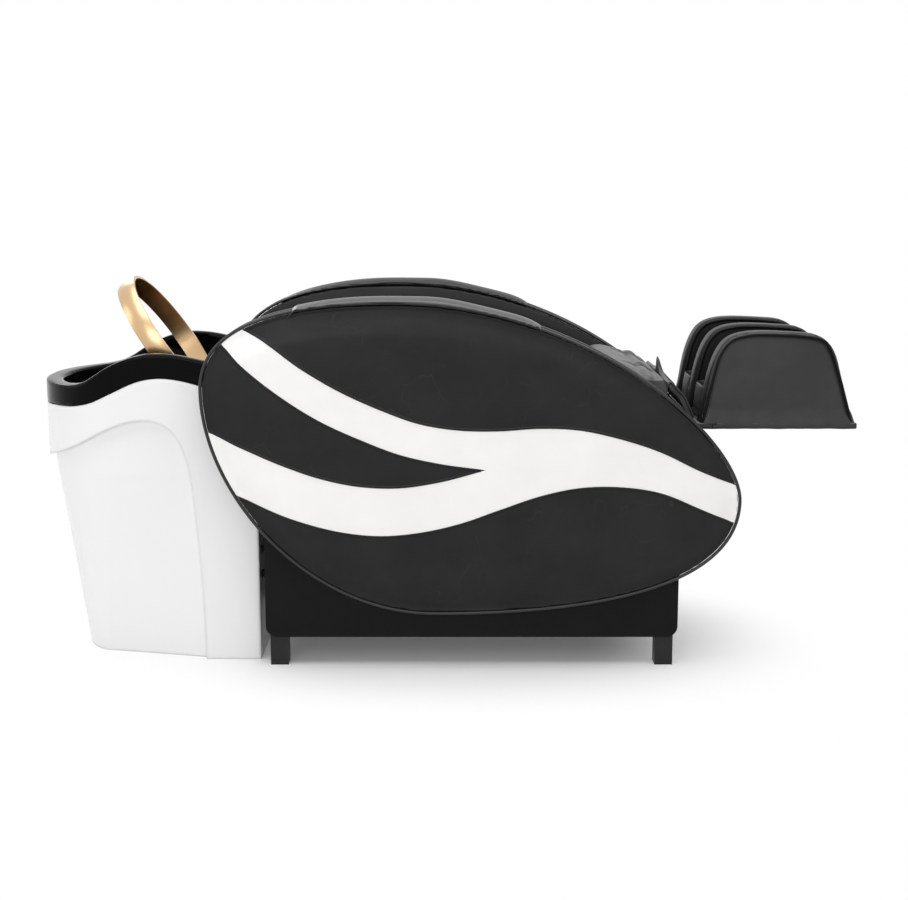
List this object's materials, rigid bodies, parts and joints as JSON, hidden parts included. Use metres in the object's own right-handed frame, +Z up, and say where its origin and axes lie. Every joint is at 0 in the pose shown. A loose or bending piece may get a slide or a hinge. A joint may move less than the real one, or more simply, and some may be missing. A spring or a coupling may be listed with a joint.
{
  "type": "hair washing bed",
  "caption": "Lying wash bed: padded bed with oval side panels, basin pedestal with tilting water ring, lifting back and tilting calf unit.",
  "frame": {"origin": "on the floor, under the middle of the object's length and width", "axes": "+X towards the foot end, +Z up, +Y to the left of the person lying on the bed"},
  "size_m": [2.104, 0.8, 0.9616],
  "materials": {
    "black_leather": "satin",
    "white_leather": "satin",
    "grey_leather": "satin",
    "white_shell": "satin",
    "black_gloss": "gloss",
    "soft_rubber": "matte",
    "chrome": "polished",
    "black_plastic": "matte",
    "gold_metal": "satin",
    "steel": "satin",
    "black_metal": "satin",
    "board": "matte"
  },
  "bodies": {
    "base": {"armrest_left": "black_leather", "armrest_right": "black_leather", "back_bracket_left": "steel", "back_bracket_right": "steel", "back_drive": "black_plastic", "calf_bracket_left": "steel", "calf_bracket_right": "steel", "calf_drive": "black_plastic", "circulation_pump": "black_plastic", "cross_tube_back": "black_metal", "cross_tube_drive": "black_metal", "cross_tube_foot": "black_metal", "cross_tube_head": "black_metal", "cross_tube_seat": "black_metal", "drain_strainer": "chrome", "feed_hose": "soft_rubber", "frame_rail_left": "black_metal", "frame_rail_right": "black_metal", "leg_foot_left": "black_metal", "leg_foot_right": "black_metal", "leg_head_left": "black_metal", "leg_head_right": "black_metal", "link_hose_lower": "soft_rubber", "link_hose_upper": "soft_rubber", "neck_rest": "soft_rubber", "pedestal_shell": "white_shell", "pedestal_tray": "black_plastic", "plinth_box": "black_leather", "power_inlet": "black_plastic", "ring_bracket": "steel", "seat_board": "board", "seat_cushion": "grey_leather", "seat_flap": "black_leather", "side_panel_left": "black_leather", "side_panel_right": "black_leather", "spacer_left": "black_metal", "spacer_right": "black_metal", "wash_basin": "black_gloss", "waste_trap": "black_plastic", "white_stripe_left": "white_leather", "white_stripe_right": "white_leather"},
    "back": {"back_board": "board", "back_cushion": "grey_leather", "back_cheek_left": "black_metal", "back_cheek_right": "black_metal", "back_lug": "steel"},
    "back_arm": {"back_arm": "steel"},
    "back_link": {"back_link": "steel"},
    "calf_unit": {"calf_tray": "board", "calf_wall_left": "grey_leather", "calf_wall_middle": "grey_leather", "calf_wall_right": "grey_leather", "calf_floor_left": "grey_leather", "calf_floor_right": "grey_leather", "calf_lug": "steel"},
    "calf_arm": {"calf_arm": "steel"},
    "calf_link": {"calf_link": "steel"},
    "water_ring": {"water_ring": "gold_metal"},
    "power_switch": {"power_switch": "black_plastic"}
  },
  "joints": [
    {"name": "back_lift", "type": "hinge", "parent": "base", "child": "back", "pos_m": [0.045, 0, 0.735], "axis": [0, 1, 0], "range_deg": [0, 50]},
    {"name": "back_arm_turn", "type": "hinge", "parent": "base", "child": "back_arm", "pos_m": [0.045, 0, 0.3], "axis": [0, 1, 0], "range_deg": [0, 50]},
    {"name": "back_link_turn", "type": "hinge", "parent": "back_arm", "child": "back_link", "pos_m": [-0.155, 0, 0.155], "axis": [0, 1, 0], "range_deg": [-50, 0]},
    {"name": "calf_tilt", "type": "hinge", "parent": "base", "child": "calf_unit", "pos_m": [0.635, 0, 0.6], "axis": [0, 1, 0], "range_deg": [0, 80]},
    {"name": "calf_arm_turn", "type": "hinge", "parent": "base", "child": "calf_arm", "pos_m": [0.395, 0, 0.45], "axis": [0, 1, 0], "range_deg": [0, 80]},
    {"name": "calf_link_turn", "type": "hinge", "parent": "calf_arm", "child": "calf_link", "pos_m": [0.461, 0, 0.428], "axis": [0, 1, 0], "range_deg": [-80, 0]},
    {"name": "ring_tilt", "type": "hinge", "parent": "base", "child": "water_ring", "pos_m": [-0.6107, 0, 0.6175], "axis": [0, 1, 0], "range_deg": [-25, 12]},
    {"name": "switch_rock", "type": "hinge", "parent": "base", "child": "power_switch", "pos_m": [0.59065, -0.074, 0.17], "axis": [0, 1, 0], "range_deg": [-8, 8]}
  ],
  "couplings": [
    {"joint": "back_arm_turn", "follows": "back_lift", "ratio": 1},
    {"joint": "back_link_turn", "follows": "back_lift", "ratio": -1},
    {"joint": "calf_arm_turn", "follows": "calf_tilt", "ratio": 1},
    {"joint": "calf_link_turn", "follows": "calf_tilt", "ratio": -1}
  ]
}
